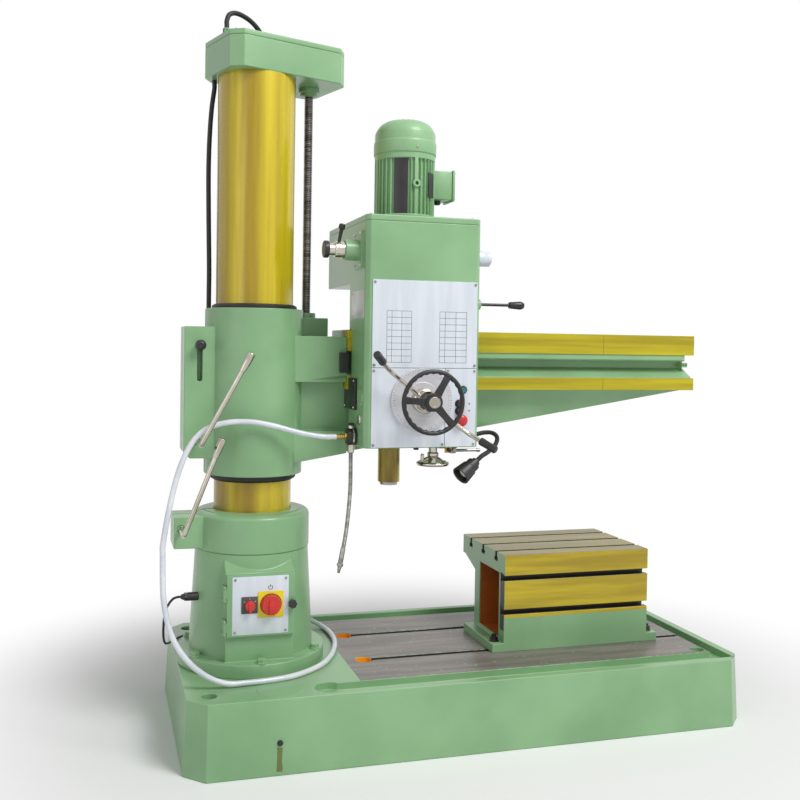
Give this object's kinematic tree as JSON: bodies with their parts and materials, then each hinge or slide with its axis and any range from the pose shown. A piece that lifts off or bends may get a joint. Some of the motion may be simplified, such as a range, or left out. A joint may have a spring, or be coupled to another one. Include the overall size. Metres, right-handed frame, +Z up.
{
  "type": "radial arm drill",
  "caption": "Radial arm drilling machine: cast base with box table, turning column, rising arm and travelling drill head with feed levers, handwheels, lamp and coolant.",
  "frame": {"origin": "on the floor under the column axis, at the underside of the base", "axes": "+X along the base and the arm, +Y to the back, +Z up"},
  "size_m": [1.9852, 0.9077, 2.387],
  "materials": {
    "sage_paint": "satin paint",
    "oiled_iron": "ground, under a film of preservative oil",
    "machined_steel": "machined",
    "chrome": "polished",
    "black_plastic": "moulded",
    "black_rubber": "matt",
    "red_plastic": "gloss",
    "teal_plastic": "gloss",
    "white_plate": "satin",
    "white_hose": "satin"
  },
  "bodies": {
    "base": {"base_casting": "sage_paint", "box_table": "oiled_iron", "hold_down_bolts": "machined_steel", "pedestal": "sage_paint", "inner_column": "machined_steel", "column_bearings": "machined_steel", "coolant_pump": "sage_paint", "pump_cable": "black_rubber", "cable_gland": "black_plastic", "hose_base": "white_hose"},
    "door": {"cabinet_door": "sage_paint"},
    "main_switch": {"main_switch": "red_plastic"},
    "coolant_switch": {"coolant_switch": "red_plastic"},
    "door_latch": {"door_latch": "black_plastic"},
    "column": {"outer_column": "oiled_iron", "clamp_ring": "sage_paint", "top_cap": "sage_paint", "cap_lid": "sage_paint", "cap_cable": "black_rubber", "elevating_motor": "machined_steel", "screw_bearing": "black_plastic", "column_cable": "black_rubber", "hose_column": "white_hose"},
    "column_lever": {"column_clamp_lever": "chrome"},
    "screw": {"lead_screw": "machined_steel", "screw_gear": "machined_steel"},
    "drive_gear": {"drive_gear": "machined_steel"},
    "arm": {"arm_casting": "sage_paint", "arm_ways": "oiled_iron", "end_stops": "black_plastic", "column_wipers": "black_rubber", "nut_housing": "sage_paint", "traverse_rack": "machined_steel", "hose_arm": "white_hose"},
    "arm_lever": {"arm_clamp_lever": "chrome"},
    "slot_knob": {"slot_knob": "black_plastic"},
    "head": {"head_casting": "sage_paint", "head_lid": "sage_paint", "panel_plates": "white_plate", "drive_motor": "sage_paint", "motor_cowl": "sage_paint", "coolant_valve": "black_plastic", "coolant_pipe": "machined_steel", "lamp_arm": "black_plastic", "lamp_head": "black_plastic"},
    "quill": {"quill": "oiled_iron"},
    "spindle": {"spindle": "machined_steel"},
    "feed_handle": {"feed_handle": "chrome"},
    "traverse_wheel": {"traverse_wheel": "black_plastic"},
    "traverse_pinion": {"traverse_pinion": "machined_steel"},
    "fine_feed_wheel": {"fine_feed_wheel": "chrome"},
    "speed_lever": {"speed_lever": "chrome"},
    "speed_knob": {"speed_knob": "chrome"},
    "direction_lever": {"direction_lever": "black_plastic"},
    "lock_rod": {"lock_rod": "machined_steel"},
    "valve_tap": {"valve_tap": "black_plastic"},
    "start_button": {"start_button": "teal_plastic"},
    "up_button": {"up_button": "black_plastic"},
    "down_button": {"down_button": "black_plastic"},
    "stop_button": {"stop_button": "red_plastic"}
  },
  "joints": [
    {"name": "column_swing", "type": "hinge", "parent": "base", "child": "column", "pos_m": [0, 0, 1], "axis": [0, 0, 1], "range_deg": [-180, 180], "deforming": ["hose_base"]},
    {"name": "arm_elevation", "type": "slide", "parent": "column", "child": "arm", "axis": [0, 0, 1], "range_m": [-0.07, 0.45], "deforming": ["hose_column", "column_cable"]},
    {"name": "head_traverse", "type": "slide", "parent": "arm", "child": "head", "axis": [1, 0, 0], "range_m": [0, 0.87], "deforming": ["hose_arm"]},
    {"name": "quill_feed", "type": "slide", "parent": "head", "child": "quill", "axis": [0, 0, -1], "range_m": [0, 0.2]},
    {"name": "spindle_spin", "type": "hinge", "parent": "quill", "child": "spindle", "pos_m": [0.418, -0.215, 1], "axis": [0, 0, 1], "continuous": true},
    {"name": "feed_turn", "type": "hinge", "parent": "head", "child": "feed_handle", "pos_m": [0.498, -0.36, 1.115], "axis": [0, 1, 0], "range_deg": [-242, 0]},
    {"name": "traverse_wheel_turn", "type": "hinge", "parent": "head", "child": "traverse_wheel", "pos_m": [0.498, -0.42, 1.115], "axis": [0, 1, 0], "range_deg": [-2347, 0]},
    {"name": "traverse_pinion_turn", "type": "hinge", "parent": "head", "child": "traverse_pinion", "pos_m": [0.498, -0.15, 1.22875], "axis": [0, 1, 0], "range_deg": [-2347, 0]},
    {"name": "screw_turn", "type": "hinge", "parent": "column", "child": "screw", "pos_m": [0.19116, 0.06211, 1.7], "axis": [0, 0, 1], "continuous": true},
    {"name": "drive_gear_turn", "type": "hinge", "parent": "column", "child": "drive_gear", "pos_m": [0.0428, 0.01391, 2.2], "axis": [0, 0, 1], "continuous": true},
    {"name": "column_lever_turn", "type": "hinge", "parent": "column", "child": "column_lever", "pos_m": [-0.245, -0.055, 0.6833], "axis": [0, 1, 0], "range_deg": [0, 40]},
    {"name": "arm_lever_turn", "type": "hinge", "parent": "arm", "child": "arm_lever", "pos_m": [-0.198, -0.055, 0.971], "axis": [0, 1, 0], "range_deg": [-60, 30]},
    {"name": "slot_knob_slide", "type": "slide", "parent": "arm", "child": "slot_knob", "axis": [0, 0, 1], "range_m": [-0.11, 0]},
    {"name": "door_swing", "type": "hinge", "parent": "base", "child": "door", "pos_m": [-0.118, -0.2173, 0.456], "axis": [0, 0, -1], "range_deg": [0, 110]},
    {"name": "main_switch_turn", "type": "hinge", "parent": "door", "child": "main_switch", "pos_m": [0.02919, -0.225, 0.45798], "axis": [0, 1, 0], "range_deg": [0, 90]},
    {"name": "coolant_switch_turn", "type": "hinge", "parent": "door", "child": "coolant_switch", "pos_m": [-0.03852, -0.225, 0.45798], "axis": [0, 1, 0], "range_deg": [0, 90]},
    {"name": "door_latch_turn", "type": "hinge", "parent": "door", "child": "door_latch", "pos_m": [0.098, -0.225, 0.45798], "axis": [0, 1, 0], "range_deg": [0, 90]},
    {"name": "fine_feed_turn", "type": "hinge", "parent": "head", "child": "fine_feed_wheel", "pos_m": [0.572, -0.215, 0.95], "axis": [0, 0, 1], "continuous": true},
    {"name": "speed_lever_turn", "type": "hinge", "parent": "head", "child": "speed_lever", "pos_m": [0.28, -0.217, 1.598], "axis": [1, 0, 0], "range_deg": [-40, 40]},
    {"name": "speed_knob_turn", "type": "hinge", "parent": "head", "child": "speed_knob", "pos_m": [0.7, -0.25, 1.585], "axis": [1, 0, 0], "continuous": true},
    {"name": "direction_turn", "type": "hinge", "parent": "head", "child": "direction_lever", "pos_m": [0.708, -0.25, 1.432], "axis": [0, 1, 0], "range_deg": [-12, 12]},
    {"name": "lock_turn", "type": "hinge", "parent": "head", "child": "lock_rod", "pos_m": [0.64, -0.215, 0.97], "axis": [0, 0, 1], "range_deg": [-35, 35]},
    {"name": "valve_tap_turn", "type": "hinge", "parent": "head", "child": "valve_tap", "pos_m": [0.293, -0.195, 1.02], "axis": [0, 0, 1], "range_deg": [-90, 0]},
    {"name": "start_press", "type": "slide", "parent": "head", "child": "start_button", "axis": [0, 1, 0], "range_m": [0, 0.004], "stiffness_N_per_m": 300, "springref_m": -0.002},
    {"name": "up_press", "type": "slide", "parent": "head", "child": "up_button", "axis": [0, 1, 0], "range_m": [0, 0.004], "stiffness_N_per_m": 300, "springref_m": -0.002},
    {"name": "down_press", "type": "slide", "parent": "head", "child": "down_button", "axis": [0, 1, 0], "range_m": [0, 0.004], "stiffness_N_per_m": 300, "springref_m": -0.002},
    {"name": "stop_press", "type": "slide", "parent": "head", "child": "stop_button", "axis": [0, 1, 0], "range_m": [0, 0.004], "stiffness_N_per_m": 300, "springref_m": -0.002}
  ],
  "couplings": [
    {"joint": "feed_turn", "follows": "quill_feed", "rad_per_m": -21.053},
    {"joint": "traverse_pinion_turn", "follows": "head_traverse", "rad_per_m": -47.059},
    {"joint": "traverse_wheel_turn", "follows": "head_traverse", "rad_per_m": -47.059},
    {"joint": "screw_turn", "follows": "arm_elevation", "rad_per_m": -1047.2},
    {"joint": "drive_gear_turn", "follows": "arm_elevation", "rad_per_m": 897.6}
  ]
}
